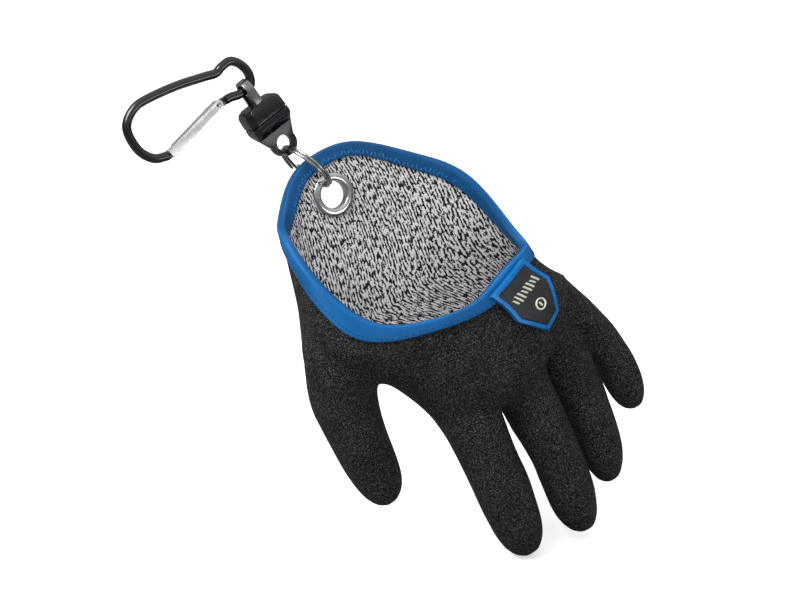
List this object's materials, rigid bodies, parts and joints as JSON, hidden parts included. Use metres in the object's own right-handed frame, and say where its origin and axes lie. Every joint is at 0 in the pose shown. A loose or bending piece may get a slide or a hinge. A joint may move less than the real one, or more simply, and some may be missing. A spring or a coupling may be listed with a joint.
{
  "type": "fishing glove",
  "caption": "Left-hand fish landing glove, rubber coated knit with a slanted bound entry, eyelet, split ring, magnetic release clip and snap carabiner.",
  "frame": {"origin": "middle of the hand entry, where a wrist passes through it", "axes": "+Z from the fingertips up to the wrist, -Y out of the back of the hand, +Y out of the palm, -X towards the thumb"},
  "size_m": [0.1745, 0.0688, 0.3285],
  "materials": {
    "coating": "matt sandy latex coating",
    "knit": "light grey knit with black flecks",
    "binding": "blue twill tape",
    "badge_rim": "soft blue moulded rubber",
    "badge_panel": "dark grey moulded panel with raised cream marks",
    "steel": "polished nickel-plated steel",
    "clip_black": "glossy black moulding",
    "strap": "satin metal strap",
    "rod_black": "glossy black anodised rod",
    "gate_silver": "satin silver"
  },
  "bodies": {
    "glove": {"coating": "coating", "liner": "knit", "binding": "binding", "badge_frame": "badge_rim", "badge_inlay": "badge_panel", "eyelet": "steel", "eyelet_washer": "steel", "split_ring": "steel", "clip_lower": "clip_black"},
    "release": {"clip_upper": "clip_black", "clip_bail": "strap", "carabiner_frame": "rod_black", "carabiner_pin": "steel"},
    "gate": {"carabiner_gate": "gate_silver"}
  },
  "joints": [
    {"name": "release_pull", "type": "slide", "parent": "glove", "child": "release", "axis": [-0.0611, 0, 0.9981], "range_m": [0, 0.03]},
    {"name": "gate_hinge", "type": "hinge", "parent": "release", "child": "gate", "pos_m": [-0.03701, 0.0257, 0.11262], "axis": [0, 1, 0], "range_deg": [0, 25], "stiffness_Nm_per_rad": 0.03, "springref_deg": -28.65}
  ]
}
